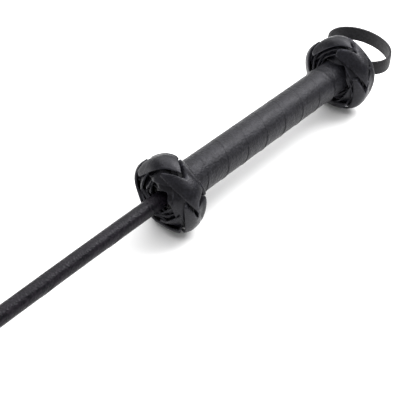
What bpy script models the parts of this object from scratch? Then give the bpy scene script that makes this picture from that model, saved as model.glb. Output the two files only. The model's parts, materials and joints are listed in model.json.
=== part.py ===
"""Riding crop: a leather-covered whip shaft, a spirally wrapped grip between two plaited knots, a wrist
loop at the butt and a folded leather keeper at the tip. Metres, +Z up.

The crop lies on a flat surface at z = 0, with its tip towards -X and its butt towards +X. It rests on its
two knots and on the keeper. The origin is under the middle of its bounding box, on that surface. Places
along the crop are distances s from the front knot's centre, positive towards the butt.
"""

import math

import bmesh
import bpy
from mathutils import Matrix, Vector

MM = 0.001
CLEARANCE = 0.3 * MM

# Grip and knots
FRONT_KNOT_RADIUS = 25.5 * MM
REAR_KNOT_RADIUS = 27.75 * MM
KNOT_SPACING = 181 * MM
KNOT_CORE_HALF_LENGTH = 9.6 * MM
KNOT_BORE_RADIUS = 13.1 * MM
CORE_GRIP_OPENING = KNOT_BORE_RADIUS + 0.8 * MM
CORE_SHAFT_OPENING = 6.6 * MM
STRAP_GRIP_OPENING = 12.8 * MM
STRAP_SHAFT_OPENING = 6.3 * MM
BUTT_OPENING = 10.5 * MM
BUTT_BORE_MARGIN = 0.7 * MM
CORE_STEPS = 10
KNOT_TWIST = math.radians(90)
STRAPS_PER_KNOT = 5
STRAP_THICKNESS = 1.6 * MM
STRAP_SEAT = 0.4 * MM
STRAP_LIFT = 2.2 * MM
STRAP_LAP = 1.12
STRAP_CLIMB_START = 0.13
STRAP_CLIMB_SHARE = 0.2
WRAP_BINDING_LENGTH = 5 * MM
GRIP_RADIUS = 12 * MM
GRIP_FRONT_S = -4.2 * MM
GRIP_REAR_S = KNOT_SPACING + 7 * MM
WRAP_THICKNESS = 0.8 * MM
WRAP_PITCH = 19.5 * MM
WRAP_WIDTH = 20.5 * MM
STRIP_END_WIDTH = 2 * MM

# Shaft
SHAFT_REACH = 395 * MM
SHAFT_RADIUS = 5.35 * MM
SHAFT_TAPER = 0.002
SHAFT_DIP = -0.002
ROD_BUTT_S = 118 * MM
COVER_THICKNESS = 0.5 * MM
COVER_PITCH = 50 * MM
COVER_WIDTH = 52 * MM
COVER_TIP_S = -371 * MM

# Keeper
KEEPER_LEATHER = 1.6 * MM
KEEPER_SLIT = 0.5 * MM
KEEPER_LENGTH = 52 * MM
KEEPER_HALF_WIDTH = 15 * MM
KEEPER_ROOT_HALF_WIDTH = 12 * MM
KEEPER_NECK_LENGTH = 18 * MM
KEEPER_NECK_FLAT = 2 * MM
KEEPER_HINGE_GAP = 1.9 * MM
KEEPER_TAIL_S = -373 * MM
TIP_HEIGHT = 6.4 * MM
TAIL_ARC = math.radians(84)
BINDING_LENGTH = 13 * MM
BINDING_S = -384 * MM
BINDING_THICKNESS = 0.8 * MM

# Wrist loop: an ellipse in plan, placed from the rear knot's centre
LOOP_HEIGHT = 10.6 * MM
LOOP_THICKNESS = 1.6 * MM
LOOP_CENTRE_X = 35.6 * MM
LOOP_CENTRE_Y = 7 * MM
LOOP_LONG_RADIUS = 27.6 * MM
LOOP_SHORT_RADIUS = 19.5 * MM
LOOP_TURN = math.radians(18)
LOOP_SIDES = 48
TAIL_WIDTH = 3.4 * MM
TAIL_INNER_X = -14 * MM
TAIL_OUTER_X = 11.7 * MM
PIN_RADIUS = 1.5 * MM
PIN_HALF_LENGTH = 9 * MM
PIN_X = -4 * MM
CAP_RADIUS = 9.8 * MM
CAP_INNER_X = 9.2 * MM
CAP_OUTER_X = 11.2 * MM

# Worked out from the dimensions above
GRIP_TILT = math.asin((REAR_KNOT_RADIUS - FRONT_KNOT_RADIUS) / KNOT_SPACING)
SHAFT_SLOPE = math.tan(GRIP_TILT) + SHAFT_DIP
SHAFT_SAG = (FRONT_KNOT_RADIUS - TIP_HEIGHT - SHAFT_SLOPE * SHAFT_REACH) / SHAFT_REACH**2
KEEPER_HINGE_S = -(SHAFT_REACH + KEEPER_NECK_LENGTH)
KEEPER_ROOT_S = KEEPER_HINGE_S - KEEPER_HINGE_GAP
KEEPER_FOLD_RADIUS = KEEPER_SLIT / 2
KEEPER_FOLD_S = KEEPER_ROOT_S - KEEPER_LENGTH + KEEPER_FOLD_RADIUS + KEEPER_LEATHER
LOOP_REACH_X = math.hypot(
    LOOP_SHORT_RADIUS * math.cos(LOOP_TURN), LOOP_LONG_RADIUS * math.sin(LOOP_TURN)
)
LOOP_REACH_Y = math.hypot(
    LOOP_SHORT_RADIUS * math.sin(LOOP_TURN), LOOP_LONG_RADIUS * math.cos(LOOP_TURN)
)
BUTT_END_S = KNOT_SPACING + LOOP_CENTRE_X + LOOP_REACH_X + LOOP_THICKNESS / 2
LOOP_FAR_Y = LOOP_CENTRE_Y + LOOP_REACH_Y + LOOP_THICKNESS / 2
FRONT_KNOT_X = -(KEEPER_ROOT_S - KEEPER_LENGTH + BUTT_END_S) / 2
AXIS_Y = -(LOOP_FAR_Y - REAR_KNOT_RADIUS) / 2
WRAP_RISE = WRAP_THICKNESS + CLEARANCE
WRAP_INNER_RADIUS = GRIP_RADIUS - WRAP_THICKNESS - WRAP_RISE
GRIP_CORE_RADIUS = WRAP_INNER_RADIUS - CLEARANCE
COVER_RISE = COVER_THICKNESS + CLEARANCE
ROD_RADIUS = SHAFT_RADIUS - COVER_THICKNESS - COVER_RISE - CLEARANCE
TAIL_INNER_RADIUS = ROD_RADIUS + SHAFT_TAPER * KEEPER_TAIL_S + 1.5 * CLEARANCE
FRONT_KNOT_FRAME = Matrix.Translation((FRONT_KNOT_X, AXIS_Y, FRONT_KNOT_RADIUS)) @ Matrix.Rotation(
    -GRIP_TILT, 4, "Y"
)
REAR_KNOT_FRAME = FRONT_KNOT_FRAME @ Matrix.Translation((KNOT_SPACING, 0, 0))


# Scene helpers


def clear_scene():
    for obj in list(bpy.data.objects):
        bpy.data.objects.remove(obj, do_unlink=True)


def new_collection(name):
    collection = bpy.data.collections.new(name)
    bpy.context.scene.collection.children.link(collection)
    return collection


def new_material(name, colour, roughness, metallic=0.0):
    material = bpy.data.materials.new(name)
    material.use_nodes = True
    shader = material.node_tree.nodes["Principled BSDF"]
    shader.inputs["Base Color"].default_value = (*colour, 1)
    shader.inputs["Roughness"].default_value = roughness
    shader.inputs["Metallic"].default_value = metallic
    return material


def add_part(name, data, material, matrix=Matrix()):
    obj = bpy.data.objects.new(name, data)
    parts.objects.link(obj)
    data.materials.append(material)
    obj.matrix_world = matrix
    return obj


def mesh_from(name, bm):
    mesh = bpy.data.meshes.new(name)
    bm.to_mesh(mesh)
    bm.free()
    return mesh


def shell(name, point, across, along, thickness, side, material):
    """A sheet of leather: a grid bent by point(u, v), u and v from 0 to 1, thickened on one side."""
    bm = bmesh.new()
    bmesh.ops.create_grid(bm, x_segments=across, y_segments=along, size=0.5)
    for vertex in bm.verts:
        vertex.co = point(vertex.co.x + 0.5, vertex.co.y + 0.5)
    mesh = mesh_from(name, bm)
    mesh.shade_smooth()
    obj = add_part(name, mesh, material)
    solidify = obj.modifiers.new("Thickness", "SOLIDIFY")
    solidify.thickness = thickness
    solidify.offset = side
    solidify.use_even_offset = True
    return obj


def turned(name, profile, matrix, material, steps=28):
    """A body turned round X from a closed profile of (x, radius) points that runs outside towards -X."""
    bm = bmesh.new()
    corners = [bm.verts.new((x, radius, 0)) for x, radius in profile]
    for start, end in zip(corners, corners[1:] + corners[:1]):
        if start.co.y > 0 or end.co.y > 0:
            bm.edges.new((start, end))
    obj = add_part(name, mesh_from(name, bm), material, matrix)
    screw = obj.modifiers.new("Turn", "SCREW")
    screw.axis = "X"
    screw.steps = screw.render_steps = steps
    screw.use_merge_vertices = True
    screw.merge_threshold = 0.001 * MM
    return obj


def cut(obj, name, bm, matrix):
    """Cuts a closed shape from a part."""
    tool = bpy.data.objects.new(name, mesh_from(name, bm))
    cutters.objects.link(tool)
    tool.matrix_world = matrix
    tool.hide_render = True
    tool.display_type = "WIRE"
    boolean = obj.modifiers.new(name, "BOOLEAN")
    boolean.object = tool


def cut_tail_slot(obj):
    """The slot along the butt's axis that the wrist loop's tails lie in."""
    bm = bmesh.new()
    size = (-2 * TAIL_INNER_X + 2 * CLEARANCE, TAIL_WIDTH + 2 * CLEARANCE, LOOP_HEIGHT + 2 * CLEARANCE)
    bmesh.ops.create_cube(bm, size=1, matrix=Matrix.Diagonal((*size, 1)))
    cut(obj, obj.name + "_tail_slot", bm, REAR_KNOT_FRAME)


def cylinder_across(radius, half_length, sides):
    """A closed cylinder along Y."""
    bm = bmesh.new()
    bmesh.ops.create_cone(
        bm,
        cap_ends=True,
        segments=sides,
        radius1=radius,
        radius2=radius,
        depth=2 * half_length,
        matrix=Matrix.Rotation(math.pi / 2, 4, "X"),
    )
    return bm


def cut_pin_bore(obj):
    bm = cylinder_across(PIN_RADIUS + CLEARANCE, 2 * GRIP_RADIUS, 16)
    cut(obj, obj.name + "_pin_bore", bm, REAR_KNOT_FRAME @ Matrix.Translation((PIN_X, 0, 0)))


# Shaft


def axis_height(s):
    """Height of the crop's axis: straight through the grip, sagging along the shaft."""
    if s >= 0:
        return FRONT_KNOT_RADIUS + math.tan(GRIP_TILT) * s
    return FRONT_KNOT_RADIUS + SHAFT_SLOPE * s - SHAFT_SAG * s * s


def round_shaft(s, radius, angle):
    """A point round the shaft's axis: angle 0 is towards +Y, and a quarter turn is up."""
    tilt = math.atan(SHAFT_SLOPE - 2 * SHAFT_SAG * s)
    up = Vector((-math.sin(tilt), 0, math.cos(tilt)))
    centre = Vector((FRONT_KNOT_X + s, AXIS_Y, axis_height(s)))
    return centre + radius * (math.cos(angle) * Vector((0, 1, 0)) + math.sin(angle) * up)


def round_grip(x, radius, angle):
    return FRONT_KNOT_FRAME @ Vector((x, radius * math.cos(angle), radius * math.sin(angle)))


def make_shaft_core():
    """The sprung rod: it tapers to the tip, and runs inside the grip at its full thickness."""
    stations = [-SHAFT_REACH + SHAFT_REACH * step / 24 for step in range(25)] + [ROD_BUTT_S]
    curve = bpy.data.curves.new("shaft_core", "CURVE")
    curve.dimensions = "3D"
    curve.bevel_depth = ROD_RADIUS
    curve.bevel_resolution = 4
    curve.use_fill_caps = True
    spline = curve.splines.new("POLY")
    spline.points.add(len(stations) - 1)
    for knot, s in zip(spline.points, stations):
        knot.co = (FRONT_KNOT_X + s, AXIS_Y, axis_height(s), 1)
        knot.radius = 1 - SHAFT_TAPER * max(0.0, -s) / ROD_RADIUS
    add_part("shaft_core", curve, rod_material)


def wound_strip(name, ends, pitch, width, place, inner_radius, rise, thickness, steps, material):
    """A leather strip wound left-handed and trimmed square at both ends, each turn lapped over the last."""
    first, last = STRIP_END_WIDTH, ends[1] - ends[0] + width - STRIP_END_WIDTH
    turns = (last - first) / pitch

    def point(u, v):
        leading_edge = ends[0] + first + pitch * turns * v
        trailing_edge = leading_edge - width
        low, high = max(ends[0], trailing_edge), min(ends[1], leading_edge)
        s = low + (high - low) * u
        lift = rise * (leading_edge - s) / width
        return place(s, inner_radius(s) + lift, -2 * math.pi * turns * v)

    shell(name, point, 1, round(turns * steps), thickness, 1, material)


def make_shaft_cover():
    def inner_radius(s):
        return SHAFT_RADIUS + SHAFT_TAPER * s - COVER_THICKNESS - COVER_RISE

    ends = (COVER_TIP_S, GRIP_FRONT_S - CLEARANCE)
    wound_strip(
        "shaft_cover", ends, COVER_PITCH, COVER_WIDTH, round_shaft, inner_radius, COVER_RISE,
        COVER_THICKNESS, 20, cover_material,
    )


# Grip


def make_grip_core():
    """The wooden grip: bored from the front for the rod, slotted and cross-bored at the butt."""
    bore = ROD_RADIUS + CLEARANCE
    bore_end = ROD_BUTT_S + CLEARANCE
    profile = [
        (bore_end, 0),
        (GRIP_REAR_S, 0),
        (GRIP_REAR_S, GRIP_CORE_RADIUS),
        (GRIP_FRONT_S, GRIP_CORE_RADIUS),
        (GRIP_FRONT_S, bore),
        (bore_end, bore),
    ]
    core = turned("grip_core", profile, FRONT_KNOT_FRAME, wood_material)
    cut_tail_slot(core)
    cut_pin_bore(core)


def make_grip_wrap():
    def inner_radius(s):
        return WRAP_INNER_RADIUS

    ends = (GRIP_FRONT_S, GRIP_REAR_S)
    wound_strip(
        "grip_wrap", ends, WRAP_PITCH, WRAP_WIDTH, round_grip, inner_radius, WRAP_RISE,
        WRAP_THICKNESS, 24, wrap_material,
    )


def make_wrap_binding(name, frame, low_x):
    """The waxed thread that ties down an end of the wrap, hidden inside a knot."""
    inner = GRIP_RADIUS + CLEARANCE
    outer = KNOT_BORE_RADIUS - CLEARANCE
    high_x = low_x + WRAP_BINDING_LENGTH
    profile = [(high_x, inner), (high_x, outer), (low_x, outer), (low_x, inner)]
    turned(name, profile, frame, thread_material)


# Knots


def core_radius(knot_radius):
    return knot_radius - STRAP_SEAT - STRAP_LIFT - STRAP_THICKNESS


def latitude(knot_radius, opening):
    """Where the knot's oval core is as narrow as this opening's radius."""
    return math.acos(opening / core_radius(knot_radius))


def oval(knot_radius, angle):
    """(x, radius) on the knot's core."""
    return KNOT_CORE_HALF_LENGTH * math.sin(angle), core_radius(knot_radius) * math.cos(angle)


def make_knot_core(name, frame, knot_radius, tip_opening, butt_opening, bore):
    """The foundation under the straps: an oval ring whose bore is given as (x, radius) points."""
    low = latitude(knot_radius, tip_opening)
    high = latitude(knot_radius, butt_opening)
    outside = [
        oval(knot_radius, high - (high + low) * step / CORE_STEPS) for step in range(CORE_STEPS + 1)
    ]
    bore = [(outside[-1][0], bore[0][1])] + bore[1:-1] + [(outside[0][0], bore[-1][1])]
    turned(name, outside + bore, frame, core_material)


def make_knot_straps(prefix, frame, knot_radius, tip_opening, butt_opening):
    """Flat straps that run slantwise from one opening to the other, each lapped over the next one."""
    low = latitude(knot_radius, tip_opening)
    high = latitude(knot_radius, butt_opening)
    sector = 2 * math.pi / STRAPS_PER_KNOT
    across, along, lowest_column = 7, 10, 5

    def strap_point(start, u, v):
        slant = 2 * v - 1
        angle = slant * (low if slant < 0 else high)
        x, radius = oval(knot_radius, angle)
        normal = Vector((
            math.sin(angle) / KNOT_CORE_HALF_LENGTH, math.cos(angle) / core_radius(knot_radius),
        )).normalized()
        climb = min(1.0, max(0.0, (u - STRAP_CLIMB_START) / STRAP_CLIMB_SHARE))
        lift = STRAP_SEAT + STRAP_LIFT * climb * climb * (3 - 2 * climb)
        x += lift * normal.x
        radius += lift * normal.y
        turn = start + sector * STRAP_LAP * u + KNOT_TWIST * (v - 0.5)
        return frame @ Vector((x, radius * math.cos(turn), radius * math.sin(turn)))

    first = -math.pi / 2 - sector * STRAP_LAP * lowest_column / across
    for number in range(STRAPS_PER_KNOT):
        start = first + sector * number
        shell(
            f"{prefix}_strap_{number + 1}",
            lambda u, v: strap_point(start, u, v),
            across, along, STRAP_THICKNESS, 1, strap_material,
        )


def make_front_knot():
    shaft_bore = SHAFT_RADIUS + CLEARANCE
    step_x = GRIP_FRONT_S - CLEARANCE
    bore = [(0, shaft_bore), (step_x, shaft_bore), (step_x, KNOT_BORE_RADIUS), (0, KNOT_BORE_RADIUS)]
    openings = (CORE_SHAFT_OPENING, CORE_GRIP_OPENING)
    make_knot_core("front_knot_core", FRONT_KNOT_FRAME, FRONT_KNOT_RADIUS, *openings, bore)
    make_wrap_binding("front_wrap_binding", FRONT_KNOT_FRAME, 0)
    openings = (STRAP_SHAFT_OPENING, STRAP_GRIP_OPENING)
    make_knot_straps("front_knot", FRONT_KNOT_FRAME, FRONT_KNOT_RADIUS, *openings)


def make_rear_knot():
    end_bore = LOOP_HEIGHT / 2 + BUTT_BORE_MARGIN
    step_x = GRIP_REAR_S - KNOT_SPACING + CLEARANCE
    bore = [(0, KNOT_BORE_RADIUS), (step_x, KNOT_BORE_RADIUS), (step_x, end_bore), (0, end_bore)]
    openings = (CORE_GRIP_OPENING, BUTT_OPENING)
    make_knot_core("rear_knot_core", REAR_KNOT_FRAME, REAR_KNOT_RADIUS, *openings, bore)
    make_wrap_binding("rear_wrap_binding", REAR_KNOT_FRAME, -WRAP_BINDING_LENGTH)
    openings = (STRAP_GRIP_OPENING, BUTT_OPENING)
    make_knot_straps("rear_knot", REAR_KNOT_FRAME, REAR_KNOT_RADIUS, *openings)


# Wrist loop


def make_butt_cap():
    """The leather disc that closes the butt round the loop's tails."""
    bevel = 0.6 * MM
    profile = [
        (CAP_INNER_X, 0),
        (CAP_OUTER_X, 0),
        (CAP_OUTER_X, CAP_RADIUS - bevel),
        (CAP_OUTER_X - bevel, CAP_RADIUS),
        (CAP_INNER_X, CAP_RADIUS),
    ]
    cap = turned("butt_cap", profile, REAR_KNOT_FRAME, strap_material)
    cut_tail_slot(cap)


def make_loop_tails():
    """The two ends of the loop's strap, face to face in the grip's slot."""
    bm = bmesh.new()
    size = (TAIL_OUTER_X - TAIL_INNER_X, TAIL_WIDTH, LOOP_HEIGHT)
    bmesh.ops.create_cube(bm, size=1, matrix=Matrix.Diagonal((*size, 1)))
    middle = Matrix.Translation(((TAIL_OUTER_X + TAIL_INNER_X) / 2, 0, 0))
    mesh = mesh_from("wrist_loop_tails", bm)
    tails = add_part("wrist_loop_tails", mesh, loop_material, REAR_KNOT_FRAME @ middle)
    cut_pin_bore(tails)


def make_loop_pin():
    """The cross pin that holds the tails in the grip."""
    bm = cylinder_across(PIN_RADIUS, PIN_HALF_LENGTH, 16)
    place = REAR_KNOT_FRAME @ Matrix.Translation((PIN_X, 0, 0))
    add_part("loop_pin", mesh_from("loop_pin", bm), steel_material, place)


def make_wrist_loop():
    """A strap standing on edge, bent into an oval that starts and ends at the butt."""
    curve = bpy.data.curves.new("wrist_loop", "CURVE")
    curve.dimensions = "2D"
    curve.fill_mode = "BOTH"
    curve.extrude = LOOP_HEIGHT / 2
    for side in (-1, 1):
        spline = curve.splines.new("POLY")
        spline.use_cyclic_u = True
        spline.points.add(LOOP_SIDES - 1)
        for number, point in enumerate(spline.points):
            turn = 2 * math.pi * (number + 0.5) / LOOP_SIDES
            along = (LOOP_LONG_RADIUS + side * LOOP_THICKNESS / 2) * math.sin(turn)
            across = (LOOP_SHORT_RADIUS + side * LOOP_THICKNESS / 2) * math.cos(turn)
            x = LOOP_CENTRE_X + across * math.cos(LOOP_TURN) + along * math.sin(LOOP_TURN)
            y = LOOP_CENTRE_Y - across * math.sin(LOOP_TURN) + along * math.cos(LOOP_TURN)
            point.co = (x, y, 0, 1)
    add_part("wrist_loop", curve, loop_material, REAR_KNOT_FRAME)


# Keeper


def make_keeper_tail(name, up):
    """One end of the keeper's strap: half round over the rod's tip, spreading flat towards the hinge."""
    flat_height = KEEPER_LEATHER + (KEEPER_SLIT if up > 0 else 0)
    flat_s = KEEPER_HINGE_S + CLEARANCE

    def point(u, v):
        s = flat_s + (KEEPER_TAIL_S - flat_s) * v
        spread = min(1.0, max(0.0, (-SHAFT_REACH - s) / (KEEPER_NECK_LENGTH - KEEPER_NECK_FLAT)))
        spread = spread * spread * (3 - 2 * spread)
        side = 2 * u - 1
        arc_y = TAIL_INNER_RADIUS * math.sin(TAIL_ARC * side)
        arc_z = axis_height(s) + up * TAIL_INNER_RADIUS * math.cos(TAIL_ARC * side)
        y = arc_y + spread * (KEEPER_ROOT_HALF_WIDTH * side - arc_y)
        z = arc_z + spread * (flat_height - arc_z)
        return Vector((FRONT_KNOT_X + s, AXIS_Y + y, z))

    shell(name, point, 8, 16, KEEPER_LEATHER, -up, keeper_material)


def make_keeper_binding():
    """The waxed whipping that ties the keeper's tails to the rod."""
    inner = TAIL_INNER_RADIUS + KEEPER_LEATHER + CLEARANCE
    outer = inner + BINDING_THICKNESS
    half = BINDING_LENGTH / 2
    tilt = math.atan(SHAFT_SLOPE - 2 * SHAFT_SAG * BINDING_S)
    centre = (FRONT_KNOT_X + BINDING_S, AXIS_Y, axis_height(BINDING_S))
    place = Matrix.Translation(centre) @ Matrix.Rotation(-tilt, 4, "Y")
    profile = [(half, inner), (half, outer), (-half, outer), (-half, inner)]
    turned("keeper_binding", profile, place, thread_material)


def make_keeper_blade():
    """The flap: one strap folded back on itself at the free end, its two leaves a slit apart."""

    def point(u, v):
        middle_z = KEEPER_LEATHER + KEEPER_FOLD_RADIUS
        leaf, fold = 1 / 3, math.pi * (3 * v - 1)
        if v < leaf:
            s, z = KEEPER_ROOT_S + (KEEPER_FOLD_S - KEEPER_ROOT_S) * v / leaf, KEEPER_LEATHER
        elif v > 1 - leaf:
            s = KEEPER_ROOT_S + (KEEPER_FOLD_S - KEEPER_ROOT_S) * (1 - v) / leaf
            z = KEEPER_LEATHER + KEEPER_SLIT
        else:
            s = KEEPER_FOLD_S - KEEPER_FOLD_RADIUS * math.sin(fold)
            z = middle_z - KEEPER_FOLD_RADIUS * math.cos(fold)
        widening = min(1.0, (KEEPER_ROOT_S - s) / (KEEPER_ROOT_S - KEEPER_FOLD_S))
        half_width = KEEPER_ROOT_HALF_WIDTH + (KEEPER_HALF_WIDTH - KEEPER_ROOT_HALF_WIDTH) * widening
        return Vector((FRONT_KNOT_X + s, AXIS_Y + half_width * (2 * u - 1), z))

    shell("keeper_blade", point, 2, 18, KEEPER_LEATHER, -1, keeper_material)


clear_scene()
parts = new_collection("riding_crop")
cutters = new_collection("cutters")
strap_material = new_material("knot_leather", (0.030, 0.030, 0.033), 0.42)
wrap_material = new_material("wrap_leather", (0.028, 0.028, 0.031), 0.45)
cover_material = new_material("cover_leather", (0.024, 0.024, 0.026), 0.5)
loop_material = new_material("loop_leather", (0.035, 0.035, 0.038), 0.5)
keeper_material = new_material("keeper_leather", (0.030, 0.030, 0.032), 0.5)
core_material = new_material("knot_core_wood", (0.42, 0.30, 0.18), 0.7)
wood_material = new_material("grip_wood", (0.50, 0.36, 0.22), 0.6)
rod_material = new_material("fibreglass_rod", (0.55, 0.55, 0.50), 0.35)
thread_material = new_material("waxed_thread", (0.02, 0.02, 0.02), 0.6)
steel_material = new_material("pin_steel", (0.6, 0.6, 0.6), 0.3, 1.0)
make_shaft_core()
make_shaft_cover()
make_grip_core()
make_grip_wrap()
make_front_knot()
make_rear_knot()
make_butt_cap()
make_loop_tails()
make_loop_pin()
make_wrist_loop()
make_keeper_tail("keeper_upper_tail", 1)
make_keeper_tail("keeper_lower_tail", -1)
make_keeper_binding()
make_keeper_blade()
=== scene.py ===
"""Looks of the riding crop: plaited leather knots, a spirally wrapped grip and shaft, a strap wrist loop
and a folded, stitched keeper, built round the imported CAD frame. Metres, +Z up, tip towards -X.

Places along the crop are distances s from the front knot's centre, positive towards the butt. A turn
round the crop's axis is an angle from +Y, and a quarter turn is up.
"""

import json
import math

import bmesh
import bpy
from mathutils import Matrix, Vector

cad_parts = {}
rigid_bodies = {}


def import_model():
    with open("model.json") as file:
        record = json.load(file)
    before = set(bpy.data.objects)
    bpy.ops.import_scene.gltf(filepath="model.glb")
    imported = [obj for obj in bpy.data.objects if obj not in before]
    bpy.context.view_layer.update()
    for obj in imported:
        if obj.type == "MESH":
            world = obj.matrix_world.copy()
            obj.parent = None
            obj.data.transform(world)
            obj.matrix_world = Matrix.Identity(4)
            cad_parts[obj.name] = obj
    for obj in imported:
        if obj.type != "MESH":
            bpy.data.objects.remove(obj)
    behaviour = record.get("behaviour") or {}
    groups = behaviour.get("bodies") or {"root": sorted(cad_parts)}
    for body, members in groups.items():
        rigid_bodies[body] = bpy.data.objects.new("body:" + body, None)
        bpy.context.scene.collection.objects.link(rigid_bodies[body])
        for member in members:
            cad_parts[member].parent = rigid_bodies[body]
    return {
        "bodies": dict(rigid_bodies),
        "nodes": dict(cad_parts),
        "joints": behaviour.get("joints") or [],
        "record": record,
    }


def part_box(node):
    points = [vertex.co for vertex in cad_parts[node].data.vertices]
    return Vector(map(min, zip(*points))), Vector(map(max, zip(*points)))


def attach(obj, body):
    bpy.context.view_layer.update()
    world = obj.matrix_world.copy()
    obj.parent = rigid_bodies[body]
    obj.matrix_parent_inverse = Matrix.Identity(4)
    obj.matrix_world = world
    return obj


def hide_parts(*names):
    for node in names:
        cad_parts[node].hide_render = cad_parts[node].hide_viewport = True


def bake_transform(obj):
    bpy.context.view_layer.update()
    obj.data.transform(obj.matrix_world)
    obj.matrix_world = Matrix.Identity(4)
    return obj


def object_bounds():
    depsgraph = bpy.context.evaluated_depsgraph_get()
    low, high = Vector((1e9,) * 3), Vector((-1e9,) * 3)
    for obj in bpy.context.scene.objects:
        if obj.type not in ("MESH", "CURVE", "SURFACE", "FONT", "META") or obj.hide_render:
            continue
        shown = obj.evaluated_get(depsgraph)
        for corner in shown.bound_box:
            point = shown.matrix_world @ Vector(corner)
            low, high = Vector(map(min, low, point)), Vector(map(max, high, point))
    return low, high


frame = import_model()
cad_low, cad_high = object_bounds()

MM = 0.001

# Knots. The first sector's middle faces KNOT_FACING, and the halves run to the tip and to the butt.
BINDING_HALF_LENGTH = 2.5 * MM
SECTORS = 5
SECTOR = 360 / SECTORS
KNOT_FACING = 128
TIP_ROUNDNESS = 2.2
BUTT_ROUNDNESS = 2.9
FRONT_KNOT_HALVES = (13 * MM, 12.4 * MM)
FRONT_KNOT_SPARE = 0.4 * MM
REAR_KNOT_HALVES = (12.2 * MM, 12.6 * MM)
REAR_KNOT_SHIFT = 1.4 * MM

# Laces. Each leaf lies a step above what it crosses, and a slit runs along its end.
LACE_THICKNESS = 1.25 * MM
LACE_EDGE_ROUND = 0.4 * MM
LACE_STEP = 1.6 * MM
LACE_PUFF = 0.7 * MM
LACE_FULLNESS = 0.7
LACE_EDGE_LIFT = 0.3 * MM
LACE_SLIT = 2.8 * MM
SLIT_TURN_BEFORE = 9
SLIT_TURN_AFTER = 13
SLIT_FADE_TURN = 6
SLIT_LATITUDE_MARGIN = 4
TUCK_LATITUDES = [(-22, -6), (2, 14)]
LACE_COLUMNS = 18
LACE_ROWS = 42
LACE_FACET = 1.2 * MM
LACE_FACET_TURN = -4
BUTT_SIDE_SHIFT = 70

# Foundations of the knots
FRONT_CORE_LATITUDES = (72, -60)
REAR_CORE_LATITUDES = (60, -68)
FOUNDATION_DEPTH = 3.0 * MM
FOUNDATION_END_DEPTH = 7.4 * MM
BUTT_FACE_DEPTH = 4.2 * MM
DEEPENING_LATITUDES = (34, 58)
FOUNDATION_STEPS = 16
FOUNDATION_TURN_STEP = 5
CORE_CLEARANCE = 0.4 * MM
GRIP_BORE = 12.8 * MM
BUTT_BORE = 6.2 * MM

# Grip
GRIP_RADIUS = 12.2 * MM
GRIP_FRONT_S = -4.2 * MM
GRIP_END_OVERRUN = 7 * MM
WRAP_THICKNESS = 0.8 * MM
WRAP_PITCH = 19.5 * MM
WRAP_WIDTH = 20.5 * MM
WRAP_LAP_RISE = 0.24 * MM
WRAP_START_TURN = 281
RING_SETBACK = 28 * MM
RING_RISE = 0.7 * MM
RING_SLOPES = (1.2 * MM, 4 * MM)
RING_WIDTH = 2 * MM
CREASES = [14.5 * MM, 17.2 * MM, 19.4 * MM, 22.0 * MM]
CREASE_RISE = 0.3 * MM
CREASE_HALF_WIDTH = 0.9 * MM

# Both wound strips. A lap is worn flat where it faces the worn turn.
STRIP_END_WIDTH = 2 * MM
STRIP_COLUMNS = 16
STRIP_STEPS_PER_TURN = 60
STRIP_EDGE_ROUND_SHARE = 0.2
LAP_START_SHARE = 0.80
LAP_SLOPE_SHARE = 0.18
SUNK_SHARE = 0.10
SUNK_DEPTH_SHARE = 0.75
WORN_TURN = 70
WORN_RISE_SHARE = 0.25

# Shaft
SHAFT_RADIUS = 5.35 * MM
SHAFT_TAPER = 0.002
SHAFT_DIP = -0.002
COVER_THICKNESS = 0.5 * MM
COVER_PITCH = 50 * MM
COVER_WIDTH = 52 * MM
COVER_TIP_S = -372.6 * MM
COVER_LAP_RISE = 0.15 * MM
COVER_START_TURN = 0

# Wrist loop, from the rear knot's centre
LOOP_HEIGHT = 10.6 * MM
LOOP_THICKNESS = 1.6 * MM
LOOP_CENTRE = Vector((35.6 * MM, 7 * MM))
LOOP_LONG_RADIUS = 27.6 * MM
LOOP_SHORT_RADIUS = 19.5 * MM
LOOP_TURN = 18
LOOP_OPEN_ANGLES = (136, -182)
LOOP_ARC_STEPS = 24
LOOP_SMOOTHING = 5
LOOP_COLUMNS = 10
LOOP_CROWN = 0.25 * MM
LOOP_EDGE_ROUND = 0.35 * MM
TAIL_GAP = 0.2 * MM
TAIL_X = [-14 * MM, 0.0, 8 * MM, 11.7 * MM]

# Butt cap: its skirt, its rolled rim and its dome, as (x, radius) in mm from the rear knot's centre
CAP_SKIRT = [(9.2, 0.4), (9.2, 10.0), (7.2, 10.0), (7.2, 10.85), (9.5, 10.9)]
CAP_RIM = [(9.9, 10.85), (10.4, 10.6), (10.8, 10.1), (11.0, 9.5), (10.95, 9.0), (10.85, 8.7), (10.95, 8.4)]
CAP_DOME = [(11.15, 8.0), (11.4, 7.0), (11.6, 5.0), (11.7, 2.5), (11.7, 0.4)]
CAP_SLIT_MARGIN = 0.6 * MM
CAP_SLIT_LENGTH = 20 * MM

# Keeper
KEEPER_LEATHER = 1.6 * MM
KEEPER_LEATHER_LEFT = 0.95
KEEPER_EDGE_ROUND = 0.3 * MM
KEEPER_COLUMNS = 18
KEEPER_ROWS = 150
KEEPER_ROOT_HALF_WIDTH = 12 * MM
KEEPER_CORNER_LENGTH = 3 * MM
KEEPER_CORNER_CUT = 2.2 * MM
KEEPER_HOLLOW = 0.25 * MM
TAIL_WRAP_SHARE = 0.93
TAIL_WIDTH_SHARE = 0.92
TAIL_SEAT_SHARE = 0.75
THREAD_RADIUS = 0.42 * MM
THREAD_SWELL = 1.06
THREAD_STEPS_PER_TURN = 32

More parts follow.
